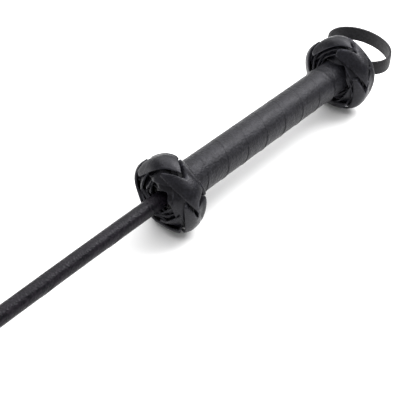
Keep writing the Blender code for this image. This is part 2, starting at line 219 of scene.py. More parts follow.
# Stitches, from the keeper's fold and from its neck
STITCH_LENGTH = 2.6 * MM
STITCH_GAP = 0.9 * MM
STITCH_RADIUS = 0.33 * MM
STITCH_SLIMMEST_SHARE = 0.55
STITCH_ARCH = 0.30 * MM
STITCH_ACROSS = 0.80
STITCH_FOLD_MARGIN = 5 * MM
STITCH_NECK_MARGIN = 6 * MM
STITCH_SUNK = {1: 0.12 * MM, -1: 0.55 * MM}
STITCH_SIDES = 8
STITCH_STEPS = 6

# Studio
SHEEN_TINT = (0.94, 0.93, 1.0)
CAMERA_OFFSET = Vector((-269.4, -265.8, 318.9)) * MM
CAMERA_FORWARD = Vector((0.566, 0.506, -0.651))
CAMERA_LENS = 73.26
FLOOR_SIZE = 6.0
FLOOR_GAP = 0.1 * MM
SKY_STRENGTH = 0.55


def smooth(value):
    value = min(1.0, max(0.0, value))
    return value * value * (3 - 2 * value)


def mix(a, b, share):
    return a + (b - a) * share


# Places taken from the frame


def box_centre(node):
    low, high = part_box(node)
    return (low + high) / 2


front_binding = box_centre("front_wrap_binding")
rear_binding = box_centre("rear_wrap_binding")
grip_axis = (rear_binding - front_binding).normalized()
front_centre = front_binding - BINDING_HALF_LENGTH * grip_axis
rear_centre = rear_binding + BINDING_HALF_LENGTH * grip_axis
knot_spacing = (rear_centre - front_centre).length
grip_tilt = math.atan2(grip_axis.z, grip_axis.x)
front_frame = Matrix.Translation(front_centre) @ Matrix.Rotation(-grip_tilt, 4, "Y")
rear_frame = Matrix.Translation(rear_centre) @ Matrix.Rotation(-grip_tilt, 4, "Y")
keeper_binding = box_centre("keeper_binding")
binding_s = keeper_binding.x - front_centre.x
shaft_slope = math.tan(grip_tilt) + SHAFT_DIP
shaft_sag = (front_centre.z + shaft_slope * binding_s - keeper_binding.z) / binding_s**2


def axis_height(s):
    if s >= 0:
        return front_centre.z + math.tan(grip_tilt) * s
    return front_centre.z + shaft_slope * s - shaft_sag * s * s


def round_shaft(s, radius, turn):
    tilt = math.atan(shaft_slope - 2 * shaft_sag * s)
    up = Vector((-math.sin(tilt), 0, math.cos(tilt)))
    centre = Vector((front_centre.x + s, front_centre.y, axis_height(s)))
    return centre + radius * (math.cos(turn) * Vector((0, 1, 0)) + math.sin(turn) * up)


def round_grip(s, radius, turn):
    return front_frame @ Vector((s, radius * math.cos(turn), radius * math.sin(turn)))


# Materials


def new_material(name, colour, roughness, specular=0.5):
    material = bpy.data.materials.new(name)
    material.use_nodes = True
    shader = material.node_tree.nodes["Principled BSDF"]
    shader.inputs["Base Color"].default_value = (*colour, 1)
    shader.inputs["Roughness"].default_value = roughness
    shader.inputs["Specular IOR Level"].default_value = specular
    shader.inputs["Specular Tint"].default_value = (*SHEEN_TINT, 1)
    return material, shader


def add_node(material, kind, **settings):
    node = material.node_tree.nodes.new(kind)
    for key, value in settings.items():
        if key in node.inputs:
            node.inputs[key].default_value = value
        else:
            setattr(node, key, value)
    return node


def link(material, source, target):
    material.node_tree.links.new(source, target)


def noise_at(material, size, detail=3.0, rough=0.55):
    """Noise whose features are this size in metres."""
    place = add_node(material, "ShaderNodeTexCoord")
    noise = add_node(material, "ShaderNodeTexNoise", Scale=1 / size, Detail=detail, Roughness=rough)
    link(material, place.outputs["Object"], noise.inputs["Vector"])
    return noise.outputs["Fac"]


def cells_at(material, size):
    """Worley cells of this size in metres, for the pebbled grain of leather."""
    place = add_node(material, "ShaderNodeTexCoord")
    cells = add_node(
        material, "ShaderNodeTexVoronoi", feature="SMOOTH_F1", Scale=1 / size, Smoothness=0.35
    )
    link(material, place.outputs["Object"], cells.inputs["Vector"])
    return cells.outputs["Distance"]


def ramp(material, source, low, high, dark, light):
    """Values of source between low and high, spread from dark to light."""
    node = add_node(material, "ShaderNodeMapRange")
    node.inputs["From Min"].default_value = low
    node.inputs["From Max"].default_value = high
    node.inputs["To Min"].default_value = dark
    node.inputs["To Max"].default_value = light
    link(material, source, node.inputs["Value"])
    return node.outputs["Result"]


def tint(material, factor, first, second):
    node = add_node(material, "ShaderNodeMix", data_type="RGBA")
    node.inputs[6].default_value = (*first, 1)
    node.inputs[7].default_value = (*second, 1)
    link(material, factor, node.inputs[0])
    return node.outputs[2]


def bumps(material, shader, layers):
    """Bump nodes in a chain: each layer is (height output, depth in metres)."""
    last = None
    for height, depth in layers:
        bump = add_node(material, "ShaderNodeBump", Strength=1.0, Distance=depth)
        link(material, height, bump.inputs["Height"])
        if last:
            link(material, last, bump.inputs["Normal"])
        last = bump.outputs["Normal"]
    link(material, last, shader.inputs["Normal"])


def leather(name, dark, light, roughness, specular, grain, grain_depth, crease_depth):
    """Finished leather: pebbled grain, soft creases, patchy colour, uneven polish and pale worn edges."""
    material, shader = new_material(name, dark, roughness, specular)
    patches = noise_at(material, 14 * MM, 4.0)
    speckles = noise_at(material, 1.3 * grain, 2.0)
    pebbles = cells_at(material, grain)
    creases = noise_at(material, 3.2 * MM, 5.0, 0.6)
    worn = add_node(material, "ShaderNodeNewGeometry").outputs["Pointiness"]
    shade = add_node(material, "ShaderNodeMath", operation="ADD")
    link(material, ramp(material, patches, 0.35, 0.68, 0.0, 0.6), shade.inputs[0])
    link(material, ramp(material, speckles, 0.42, 0.66, -0.2, 1.0), shade.inputs[1])
    colour = tint(material, shade.outputs[0], dark, light)
    wear = add_node(material, "ShaderNodeMix", data_type="RGBA")
    wear.inputs[7].default_value = (*[3.2 * channel + 0.012 for channel in light], 1)
    link(material, ramp(material, worn, 0.53, 0.62, 0.0, 0.6), wear.inputs[0])
    link(material, colour, wear.inputs[6])
    link(material, wear.outputs[2], shader.inputs["Base Color"])
    polish = ramp(material, creases, 0.3, 0.7, roughness - 0.07, roughness + 0.1)
    link(material, polish, shader.inputs["Roughness"])
    bumps(material, shader, [(creases, crease_depth), (pebbles, grain_depth)])
    return material


def suede(name, dark, light, roughness=0.75):
    """Raw leather, on a cut edge or a flesh side: matt and fibrous."""
    material, shader = new_material(name, dark, roughness, 0.3)
    fibres = noise_at(material, 0.35 * MM, 4.0, 0.7)
    patches = noise_at(material, 6 * MM)
    shade = add_node(material, "ShaderNodeMath", operation="ADD")
    link(material, ramp(material, fibres, 0.3, 0.7, 0.0, 0.6), shade.inputs[0])
    link(material, ramp(material, patches, 0.3, 0.7, 0.0, 0.4), shade.inputs[1])
    link(material, tint(material, shade.outputs[0], dark, light), shader.inputs["Base Color"])
    bumps(material, shader, [(fibres, 0.09 * MM)])
    return material


def waxed_thread(name, colour, specular=0.5):
    """Twisted waxed thread."""
    material, shader = new_material(name, colour, 0.5, specular)
    place = add_node(material, "ShaderNodeTexCoord")
    wave = add_node(
        material, "ShaderNodeTexWave", Scale=1 / (2.2 * MM), Distortion=1.5, bands_direction="DIAGONAL"
    )
    link(material, place.outputs["Object"], wave.inputs["Vector"])
    pale = tuple(1.9 * channel for channel in colour)
    link(material, tint(material, wave.outputs["Fac"], colour, pale), shader.inputs["Base Color"])
    bumps(material, shader, [(wave.outputs["Fac"], 0.1 * MM)])
    return material


def turned_metal(name):
    material, shader = new_material(name, (0.42, 0.42, 0.43), 0.32)
    shader.inputs["Metallic"].default_value = 1.0
    scratches = noise_at(material, 0.8 * MM, 5.0, 0.7)
    link(material, ramp(material, scratches, 0.3, 0.7, 0.25, 0.42), shader.inputs["Roughness"])
    bumps(material, shader, [(scratches, 0.01 * MM)])
    return material


def hidden_core(name, colour, grain):
    """Wood or glass fibre, drawn out along the crop's axis."""
    material, shader = new_material(name, colour, 0.6)
    place = add_node(material, "ShaderNodeTexCoord")
    stretch = add_node(material, "ShaderNodeMapping")
    stretch.inputs["Scale"].default_value = (0.08, 1, 1)
    noise = add_node(material, "ShaderNodeTexNoise", Scale=1 / grain, Detail=5.0)
    link(material, place.outputs["Object"], stretch.inputs["Vector"])
    link(material, stretch.outputs["Vector"], noise.inputs["Vector"])
    pale = tuple(1.7 * channel for channel in colour)
    link(material, tint(material, noise.outputs["Fac"], colour, pale), shader.inputs["Base Color"])
    bumps(material, shader, [(noise.outputs["Fac"], 0.05 * MM)])
    return material


lace_leather = leather(
    "lace_leather", (0.002, 0.002, 0.003), (0.008, 0.008, 0.011), roughness=0.36, specular=0.26,
    grain=1.0 * MM, grain_depth=0.09 * MM, crease_depth=0.2 * MM,
)
lace_edge = suede("lace_edge", (0.020, 0.020, 0.024), (0.055, 0.055, 0.064), 0.62)
wrap_leather = leather(
    "wrap_leather", (0.003, 0.003, 0.004), (0.012, 0.012, 0.015), roughness=0.42, specular=0.24,
    grain=1.2 * MM, grain_depth=0.22 * MM, crease_depth=0.25 * MM,
)
wrap_edge = suede("wrap_edge", (0.005, 0.005, 0.006), (0.012, 0.012, 0.014), 0.6)
cover_leather = leather(
    "cover_leather", (0.002, 0.002, 0.003), (0.009, 0.007, 0.010), roughness=0.31, specular=0.15,
    grain=1.2 * MM, grain_depth=0.2 * MM, crease_depth=0.25 * MM,
)
strap_leather = leather(
    "strap_leather", (0.003, 0.003, 0.003), (0.008, 0.008, 0.009), roughness=0.46, specular=0.18,
    grain=1.0 * MM, grain_depth=0.12 * MM, crease_depth=0.2 * MM,
)
strap_flesh = suede("strap_flesh", (0.008, 0.007, 0.008), (0.020, 0.019, 0.020))
keeper_face = leather(
    "keeper_face", (0.005, 0.005, 0.006), (0.011, 0.011, 0.012), roughness=0.42, specular=0.26,
    grain=1.0 * MM, grain_depth=0.12 * MM, crease_depth=0.2 * MM,
)
thread = waxed_thread("thread", (0.012, 0.012, 0.013))
foundation_cord = waxed_thread("foundation_cord", (0.002, 0.002, 0.002), 0.12)
steel = turned_metal("steel")
wood = hidden_core("wood", (0.035, 0.022, 0.014), 2 * MM)
fibreglass = hidden_core("fibreglass", (0.55, 0.53, 0.46), 0.6 * MM)


# Mesh helpers


def bake(obj):
    """Puts what the modifiers make into the object's own mesh."""
    graph = bpy.context.evaluated_depsgraph_get()
    mesh = bpy.data.meshes.new_from_object(obj.evaluated_get(graph), depsgraph=graph)
    obj.modifiers.clear()
    old = obj.data
    obj.data = mesh
    bpy.data.meshes.remove(old)
    mesh.name = obj.name


def new_object(name, bm, materials):
    mesh = bpy.data.meshes.new(name)
    bm.to_mesh(mesh)
    bm.free()
    mesh.shade_smooth()
    obj = bpy.data.objects.new(name, mesh)
    bpy.context.scene.collection.objects.link(obj)
    for material in materials:
        mesh.materials.append(material)
    return obj


def add_grid(bm, point, across, along, outward):
    """A sheet of faces bent by point(u, v), whose normals face the side that outward(place) points to."""
    rows = [
        [bm.verts.new(point(column / across, row / along)) for column in range(across + 1)]
        for row in range(along + 1)
    ]
    faces = []
    for low, high in zip(rows, rows[1:]):
        for column in range(across):
            faces.append(bm.faces.new((low[column], low[column + 1], high[column + 1], high[column])))
    middle = faces[len(faces) // 2 + across // 2]
    middle.normal_update()
    if middle.normal.dot(outward(middle.calc_center_median())) < 0:
        bmesh.ops.reverse_faces(bm, faces=faces)


def thicken(obj, thickness, edge_width, segments=2, rim=1):
    """Gives sheets their thickness, inwards from the face, and rounds their cut edges."""
    solidify = obj.modifiers.new("Thickness", "SOLIDIFY")
    solidify.thickness = thickness
    solidify.offset = -1
    solidify.material_offset_rim = rim
    bevel = obj.modifiers.new("Rounded", "BEVEL")
    bevel.width = edge_width
    bevel.segments = segments
    bevel.limit_method = "ANGLE"
    bevel.angle_limit = math.radians(50)
    bevel.material = rim
    bake(obj)
    obj.data.shade_smooth()


def join_rings(bm, rings, closed=False):
    """Faces from each ring of vertices to the next, and from the last one to the first when closed."""
    faces = []
    for low, high in zip(rings, rings[1:] + (rings[:1] if closed else [])):
        for corner in range(len(low)):
            after = (corner + 1) % len(low)
            faces.append(bm.faces.new((low[corner], high[corner], high[after], low[after])))
    return faces


def round_ring(bm, place, across, up, radius, sides):
    """A ring of vertices round a place, in the plane of two directions."""
    turns = [2 * math.pi * side / sides for side in range(sides)]
    return [
        bm.verts.new(place + radius * (math.cos(turn) * across + math.sin(turn) * up)) for turn in turns
    ]


def revolve(name, profile, matrix, material, segments=72):
    """A closed ring turned round X from a closed profile of (x, radius) points."""
    bm = bmesh.new()
    rings = []
    for step in range(segments):
        turn = 2 * math.pi * step / segments
        rings.append([
            bm.verts.new(matrix @ Vector((x, radius * math.cos(turn), radius * math.sin(turn))))
            for x, radius in profile
        ])
    join_rings(bm, rings, closed=True)
    bmesh.ops.recalc_face_normals(bm, faces=bm.faces)
    return new_object(name, bm, [material])


def tube(name, path, radius, material, sides=10):
    """A round cord along a list of points, closed at both ends."""
    bm = bmesh.new()
    rings = []
    for index, place in enumerate(path):
        ahead = path[min(index + 1, len(path) - 1)] - path[max(index - 1, 0)]
        aim = ahead.to_track_quat("Z", "Y")
        across, up = aim @ Vector((1, 0, 0)), aim @ Vector((0, 1, 0))
        rings.append(round_ring(bm, place, across, up, radius, sides))
    join_rings(bm, rings)
    bm.faces.new(reversed(rings[0]))
    bm.faces.new(rings[-1])
    bmesh.ops.recalc_face_normals(bm, faces=bm.faces)
    return new_object(name, bm, [material])


# Knots


class Knot:
    """A flattened ball of plaited lace round the crop's axis. Latitudes are positive towards the tip."""

    def __init__(self, frame, radius, tip_half, butt_half):
        self.frame = frame
        self.radius = radius
        self.tip_half = tip_half
        self.butt_half = butt_half

    def place(self, turn, latitude, height):
        """A point at a turn and latitude in degrees, this high over the knot's outline."""
        sine, cosine = math.sin(math.radians(latitude)), math.cos(math.radians(latitude))
        half_length = self.tip_half if latitude > 0 else self.butt_half
        roundness = TIP_ROUNDNESS if latitude > 0 else BUTT_ROUNDNESS
        power = 2 / roundness
        x = -math.copysign(abs(sine) ** power, sine)
        r = abs(cosine) ** power
        normal = Vector((
            math.copysign(abs(x) ** (roundness - 1), x) / half_length,
            r ** (roundness - 1) / self.radius,
        )).normalized()
        flat = (1 + math.cos(math.radians(SECTORS * (turn - LACE_FACET_TURN)))) / 2
        height -= LACE_FACET * flat * cosine
        x = x * half_length + height * normal.x
        r = r * self.radius + height * normal.y
        angle = math.radians(KNOT_FACING + turn)
        return self.frame @ Vector((x, r * math.cos(angle), r * math.sin(angle)))


def bezier(corners, share):
    """A point on the curve that these (turn, latitude) corners steer."""
    while len(corners) > 1:
        corners = [
            (mix(a[0], b[0], share), mix(a[1], b[1], share)) for a, b in zip(corners, corners[1:])
        ]
    return corners[0]


def slit_share(beyond):
    """How much of its full depth the gap along a leaf's end has, this many degrees beyond the end."""
    opening = smooth((beyond + SLIT_TURN_BEFORE) / SLIT_FADE_TURN)
    return opening * smooth((SLIT_TURN_AFTER - beyond) / SLIT_FADE_TURN)


class OuterLeaf:
    """The pointed stretch of lace that crosses the knot's equator, in degrees from its sector's middle.

    Its front edge peaks near the pole and falls to the tip, with the square of the turn. Its end edge runs
    from the tip back to the heel, steered by the bow. The other end is tucked under the leaf before.
    """

    start_turn = -52
    start_back = 12
    back_bends = [(-12, 14), (0, -20)]
    edge_steps = 16
    rise_after = 3
    rise_turn = 10
    end_slope = 7
    front_slope = 5

    def __init__(self, peak, peak_turn=-13, fall=0.0093, tip_turn=51, bow=(29.5, 7.5), heel=(22, -20)):
        self.peak = peak
        self.peak_turn = peak_turn
        self.fall = fall
        self.tip_turn = tip_turn
        self.bow = bow
        self.heel = heel
        self.over = self

    def front(self, turn):
        return self.peak - self.fall * (turn - self.peak_turn) ** 2

    def spot(self, u, v):
        """The (turn, latitude) where u runs from the tucked end to the tip, and v from front to back."""
        turn = mix(self.start_turn, self.tip_turn, u)
        first = (self.start_turn, self.front(self.start_turn))
        last = (self.start_turn, self.start_back)
        tip = (self.tip_turn, self.front(self.tip_turn))
        front = (turn, self.front(turn))
        back = bezier([last, *self.back_bends, self.heel], u)
        start = (self.start_turn, mix(first[1], last[1], v))
        end = bezier([tip, self.bow, self.heel], v)
        return tuple(
            mix(front[axis], back[axis], v) + mix(start[axis], end[axis], u)
            - mix(mix(first[axis], tip[axis], u), mix(last[axis], self.heel[axis], u), v)
            for axis in (0, 1)
        )

    def reach(self, latitude):
        """The turn at which this leaf ends."""
        tip = (self.tip_turn, self.front(self.tip_turn))
        if latitude > tip[1]:
            return max(SECTOR / 2, math.sqrt(max(0.0, self.peak - latitude) / self.fall)) + self.peak_turn
        corners = [tip, self.bow, self.heel]
        edge = [bezier(corners, step / self.edge_steps) for step in range(self.edge_steps + 1)]
        for before, after in zip(edge, edge[1:]):
            if after[1] <= latitude < before[1]:
                return mix(before[0], after[0], (before[1] - latitude) / (before[1] - after[1]))
        slope = (self.heel[0] - self.bow[0]) / (self.heel[1] - self.bow[1])
        return self.heel[0] + slope * (latitude - self.heel[1])

    def height(self, u, v, turn, latitude):
        """Low where the leaf before lies over this one, then a padded dome with its free edges lifted."""
        beyond = turn + SECTOR - self.over.reach(latitude)
        out = smooth((beyond - self.rise_after) / self.rise_turn)
        to_tip = self.end_slope * (1 - u)
        dome = (4 * v * (1 - v)) ** LACE_FULLNESS * LACE_PUFF * smooth(to_tip)
        lift = LACE_EDGE_LIFT * max(smooth(1 - self.front_slope * v), smooth(1 - to_tip))
        return (dome + lift) * out - LACE_STEP * (1 - out) - LACE_SLIT * slit_share(beyond)


class InnerLace:
    """A band that fans out of the knot's opening, deeper than the leaf that covers its back.

    Its front edge peaks at the peak turn and falls at one rate before it and at another after it.
    """

    roll_slope = 4
    sink_slope = 1.6
    buried_share = 0.8
    rise_turn = 24
    buried_depth = 0.9 * LACE_STEP

    def __init__(
        self, depth, peak, peak_turn, low_fall, high_fall, start_turn, end_turn, back, sink=1.6 * MM
    ):
        self.depth = depth
        self.peak = peak
        self.peak_turn = peak_turn
        self.falls = (low_fall, high_fall)
        self.start_turn = start_turn
        self.end_turn = end_turn
        self.back = back
        self.sink = sink

    def front(self, turn):
        fall = self.falls[turn > self.peak_turn]
        return self.peak - fall * (turn - self.peak_turn) ** 2

    def spot(self, u, v):
        turn = mix(self.start_turn, self.end_turn, u)
        return turn, mix(self.front(turn), self.back, v)

    def height(self, u, v, turn, latitude):
        """Buried under the lace before at its start, with its front edge rolled up and its back sunk."""
        under = self.end_turn - SECTOR
        out = smooth((turn - mix(self.start_turn, under, self.buried_share)) / self.rise_turn)
        roll = LACE_EDGE_LIFT * smooth(1 - self.roll_slope * v) - self.sink * smooth(self.sink_slope * v)
        return roll - self.depth - self.buried_depth * (1 - out)


def tucked(latitude):
    """How far the butt side's leaves sink where the tip side's leaves lie over them."""
    return LACE_STEP * sum(smooth((latitude - low) / (high - low)) for low, high in TUCK_LATITUDES)


def slits_over(leaves, turn, latitude):
    """How much the gaps along the ends of the tip side's leaves lower what lies under them."""
    share = 0.0
    for sector, leaf in enumerate(leaves):
        heel, tip = leaf.heel[1], leaf.front(leaf.tip_turn)
        if heel - SLIT_LATITUDE_MARGIN < latitude < tip + SLIT_LATITUDE_MARGIN:
            beyond = (turn - SECTOR * sector - leaf.reach(latitude) + 180) % 360 - 180
            share = max(share, slit_share(beyond))
    return LACE_SLIT * share


def add_lace(bm, knot, lace, sector, leaves_over=()):
    """Adds one lace, whose length runs along the grid's rows.

    With leaves of the tip side given, it is mirrored to the butt side and lies under them.
    """

    def point(u, v):
        turn, latitude = lace.spot(v, u)
        height = lace.height(v, u, turn, latitude)
        if leaves_over:
            turn, latitude = BUTT_SIDE_SHIFT - turn - SECTOR * sector, -latitude
            height -= tucked(latitude) + slits_over(leaves_over, turn, latitude)
            return knot.place(turn, latitude, height)
        return knot.place(turn + SECTOR * sector, latitude, height)

    centre = knot.frame.translation
    add_grid(bm, point, LACE_COLUMNS, LACE_ROWS, lambda place: place - centre)


def make_knot(prefix, knot, tip_side, butt_side):
    """Five pieces, one for each sector. The tip side has a list of laces for each, led by its leaf."""
    for before, laces in zip(tip_side[-1:] + tip_side, tip_side):
        laces[0].over = before[0]
    for sector in range(SECTORS):
        bm = bmesh.new()
        for lace in tip_side[sector]:
            add_lace(bm, knot, lace, sector)
        for lace in butt_side:
            add_lace(bm, knot, lace, sector, [laces[0] for laces in tip_side])
        piece = new_object(f"{prefix}_lace_{sector + 1}", bm, [lace_leather, lace_edge])
        thicken(piece, LACE_THICKNESS, LACE_EDGE_ROUND)
        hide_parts(f"{prefix}_strap_{sector + 1}")
        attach(piece, "crop")


def make_foundation(prefix, knot, latitudes, end_depths, bores, step_x):
    """The cord-wound ring that the lace is plaited over, close under its faces, with a stepped bore.

    Latitudes, end depths and bore radii are pairs: the tip side, then the butt side.
    """
    bm = bmesh.new()
    inverse = knot.frame.inverted()
    shallow, deep = DEEPENING_LATITUDES
    rings = []
    for turn in range(0, 360, FOUNDATION_TURN_STEP):
        ring = []
        for step in range(FOUNDATION_STEPS + 1):
            latitude = mix(*latitudes, step / FOUNDATION_STEPS)
            end_depth = end_depths[latitude < 0]
            depth = mix(FOUNDATION_DEPTH, end_depth, smooth((abs(latitude) - shallow) / (deep - shallow)))
            ring.append(bm.verts.new(knot.place(turn, latitude, -depth)))
        angle = math.radians(KNOT_FACING + turn)
        outward = Vector((0, math.cos(angle), math.sin(angle)))
        tip_x, butt_x = (inverse @ ring[0].co).x, (inverse @ ring[-1].co).x
        for x, radius in ((butt_x, bores[1]), (step_x, bores[1]), (step_x, bores[0]), (tip_x, bores[0])):
            ring.append(bm.verts.new(knot.frame @ (Vector((x, 0, 0)) + radius * outward)))
        rings.append(ring)
    join_rings(bm, rings, closed=True)
    bmesh.ops.recalc_face_normals(bm, faces=bm.faces)
    piece = new_object(f"{prefix}_foundation", bm, [foundation_cord])
    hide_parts(f"{prefix}_core")
    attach(piece, "crop")


def make_front_knot():
    knot = Knot(front_frame, front_centre.z + FRONT_KNOT_SPARE, *FRONT_KNOT_HALVES)
    # Each leaf: peak, its turn, fall, tip's turn, bow, heel.
    leaves = [
        OuterLeaf(43.5),
        OuterLeaf(39.5, -20, 0.0085, 47),
        OuterLeaf(42),
        OuterLeaf(46, 0, 0.0105, 64, (51, -5), (37, -22)),
        OuterLeaf(46, -9, 0.0093, 60, (47.5, -5), (33, -22)),
    ]
    # Each inner lace: depth, peak, its turn, fall before and after it, start and end turn, back edge.
    inner = [
        InnerLace(1.4 * MM, 58, 28, 0.0105, 0.0085, -18, 78, 24),
        InnerLace(2.8 * MM, 66.5, 48, 0.004, 0.010, -2, 96, 40),
        InnerLace(4.0 * MM, 74, 25, 0.0048, 0.006, -22, 84, 52),
    ]
    butt = [OuterLeaf(43), InnerLace(1.5 * MM, 59, 20, 0.007, 0.009, -24, 76, 24)]
    make_knot("front_knot", knot, [[leaf, *inner] for leaf in leaves], butt)
    end_depths = (FOUNDATION_END_DEPTH, FOUNDATION_END_DEPTH)
    bores = (SHAFT_RADIUS + CORE_CLEARANCE, GRIP_BORE)
    step_x = GRIP_FRONT_S - CORE_CLEARANCE
    make_foundation("front_knot", knot, FRONT_CORE_LATITUDES, end_depths, bores, step_x)


def make_rear_knot():
    shifted = rear_frame @ Matrix.Translation((-REAR_KNOT_SHIFT, 0, 0))
    knot = Knot(shifted, rear_centre.z, *REAR_KNOT_HALVES)
    leaves = [
        OuterLeaf(51, -14, 0.0088, 51, (32, 17), (13, -8)),
        OuterLeaf(49.5, -32, 0.0055, 51, (31, 12), (18, -14)),
        OuterLeaf(47, -14, 0.0090),
        OuterLeaf(48, 0, 0.0108, 64, (51, -5), (37, -22)),
        OuterLeaf(44, -10, 0.0088, 55, (47, 0), (34, -19)),
    ]
    opening = InnerLace(3.6 * MM, 66, 34, 0.005, 0.008, -18, 90, 46)
    inner = [
        InnerLace(1.3 * MM, 57, 6, 0.0055, 0.0062, -34, 72, 30),
        InnerLace(2.5 * MM, 62, 30, 0.006, 0.0085, -18, 82, 42),
        opening,
    ]
    parallel = [
        InnerLace(1.1 * MM, 51, -12, 0.0078, 0.0078, -50, 60, 26, 1.0 * MM),
        InnerLace(2.3 * MM, 58, -8, 0.006, 0.0068, -44, 66, 38),
        opening,
    ]
    butt = [
        OuterLeaf(46),
        InnerLace(1.5 * MM, 60, 24, 0.007, 0.009, -20, 78, 26),
        InnerLace(2.8 * MM, 69, 40, 0.005, 0.008, -8, 92, 44),
    ]
    tip_side = [[leaf, *(parallel if leaf is leaves[-1] else inner)] for leaf in leaves]
    make_knot("rear_knot", knot, tip_side, butt)
    end_depths = (FOUNDATION_END_DEPTH, BUTT_FACE_DEPTH)
    bores = (GRIP_BORE, BUTT_BORE)
    step_x = GRIP_END_OVERRUN + CORE_CLEARANCE
    make_foundation("rear_knot", knot, REAR_CORE_LATITUDES, end_depths, bores, step_x)


# Wound strips


def make_winding(name, ends, pitch, width, place, radius_at, rise, thickness, start_turn, looks):
    """A strip wound left-handed and trimmed square at both ends, each turn's rear edge over the next turn."""
    first, last = STRIP_END_WIDTH, ends[1] - ends[0] + width - STRIP_END_WIDTH
    turns = (last - first) / pitch

    def point(u, v):
        leading_edge = ends[0] + first + pitch * turns * v
        low, high = max(ends[0], leading_edge - width), min(ends[1], leading_edge)
        s = mix(low, high, u)
        share = (leading_edge - s) / width
        turn = math.radians(start_turn) - 2 * math.pi * turns * v
        worn = (1 + math.cos(turn - math.radians(WORN_TURN))) / 2
        step = rise * mix(1, WORN_RISE_SHARE, worn)
        raised = smooth((share - LAP_START_SHARE) / LAP_SLOPE_SHARE)
        sunk = SUNK_DEPTH_SHARE * smooth((SUNK_SHARE - share) / SUNK_SHARE)
        return place(s, radius_at(s) + step * (raised - sunk), turn)

    def outward(spot):
        return spot - place(spot.x - front_centre.x, 0, 0)

    bm = bmesh.new()
    add_grid(bm, point, STRIP_COLUMNS, round(turns * STRIP_STEPS_PER_TURN), outward)
    piece = new_object(name, bm, looks)
    thicken(piece, thickness, STRIP_EDGE_ROUND_SHARE * thickness)
    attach(piece, "crop")
    return piece


def make_grip_wrap():
    ends = (GRIP_FRONT_S, knot_spacing + GRIP_END_OVERRUN)
    ring_s = knot_spacing - RING_SETBACK
    steep, gentle = RING_SLOPES

    def radius_at(s):
        ring = smooth((s - ring_s) / steep) - smooth((s - ring_s - RING_WIDTH) / gentle)
        creases = sum(smooth(1 - abs(s - crease) / CREASE_HALF_WIDTH) for crease in CREASES)
        return GRIP_RADIUS - WRAP_LAP_RISE / 2 + RING_RISE * ring + CREASE_RISE * creases

    wrap = make_winding(
        "grip_winding", ends, WRAP_PITCH, WRAP_WIDTH, round_grip, radius_at,
        WRAP_LAP_RISE, WRAP_THICKNESS / 2, WRAP_START_TURN, [wrap_leather, wrap_edge],
    )
    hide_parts("grip_wrap")


def make_shaft_cover():
    ends = (COVER_TIP_S, GRIP_FRONT_S)

    def radius_at(s):
        return SHAFT_RADIUS + SHAFT_TAPER * s - COVER_LAP_RISE / 2

    cover = make_winding(
        "shaft_winding", ends, COVER_PITCH, COVER_WIDTH, round_shaft, radius_at,
        COVER_LAP_RISE, COVER_THICKNESS / 2, COVER_START_TURN, [cover_leather, wrap_edge],
    )
    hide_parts("shaft_cover")


# Wrist loop


def loop_route():
    """The middle of the strap in plan, from one tail round the loop to the other tail."""
    tail_y = (LOOP_THICKNESS + TAIL_GAP) / 2
    turn = math.radians(LOOP_TURN)
    route = [Vector((x, -tail_y)) for x in TAIL_X]
    for step in range(LOOP_ARC_STEPS + 1):
        angle = math.radians(mix(*LOOP_OPEN_ANGLES, step / LOOP_ARC_STEPS))
        across = LOOP_SHORT_RADIUS * math.cos(angle)
        along = LOOP_LONG_RADIUS * -math.sin(angle)
        route.append(LOOP_CENTRE + Vector((
            across * math.cos(turn) + along * math.sin(turn),
            along * math.cos(turn) - across * math.sin(turn),
        )))
    return route + [Vector((x, tail_y)) for x in reversed(TAIL_X)]


def catmull(points, steps):
    """A smooth line through the points."""
    line = []
    for index in range(len(points) - 1):
        a, b = points[max(index - 1, 0)], points[index]
        c, d = points[index + 1], points[min(index + 2, len(points) - 1)]
        for step in range(steps):
            t = step / steps
            bend, swing = 2 * a - 5 * b + 4 * c - d, 3 * b - a - 3 * c + d
            line.append(0.5 * (2 * b + (c - a) * t + bend * t * t + swing * t**3))
    return line + [points[-1]]


def make_wrist_loop():
    route = catmull(loop_route(), LOOP_SMOOTHING)
    last = len(route) - 1

    def point(u, v):
        index = round(v * last)
        ahead = (route[min(index + 1, last)] - route[max(index - 1, 0)]).normalized()
        outer = Vector((ahead.y, -ahead.x))
        crown = LOOP_CROWN * (1 - (2 * u - 1) ** 2)
        spot = route[index] + outer * (LOOP_THICKNESS / 2 + crown)
        return rear_frame @ Vector((spot.x, spot.y, LOOP_HEIGHT * (u - 0.5)))

    middle = rear_frame @ Vector((*LOOP_CENTRE, 0))
    bm = bmesh.new()
    add_grid(bm, point, LOOP_COLUMNS, last, lambda place: place - middle)
    piece = new_object("wrist_loop_strap", bm, [strap_leather, strap_flesh])
    thicken(piece, LOOP_THICKNESS, LOOP_EDGE_ROUND)
    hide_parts("wrist_loop", "wrist_loop_tails")
    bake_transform(piece)


def make_butt_cap():
    """The domed leather disc that closes the butt, slit for the loop's tails."""
    profile = [(x * MM, radius * MM) for x, radius in CAP_SKIRT + CAP_RIM + CAP_DOME]
    cap = revolve("butt_cap_dome", profile, Matrix.Identity(4), strap_leather)
    bm = bmesh.new()
    size = (CAP_SLIT_LENGTH, 2 * (LOOP_THICKNESS + CAP_SLIT_MARGIN), LOOP_HEIGHT + CAP_SLIT_MARGIN)
    bmesh.ops.create_cube(bm, size=1, matrix=Matrix.Diagonal((*size, 1)))
    tool = new_object("butt_cap_slit", bm, [])
    slit = cap.modifiers.new("Slit", "BOOLEAN")
    slit.object = tool
    bake(cap)
    bpy.data.objects.remove(tool)
    cap.data.transform(rear_frame)
    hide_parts("butt_cap")
    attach(cap, "crop")


# Keeper


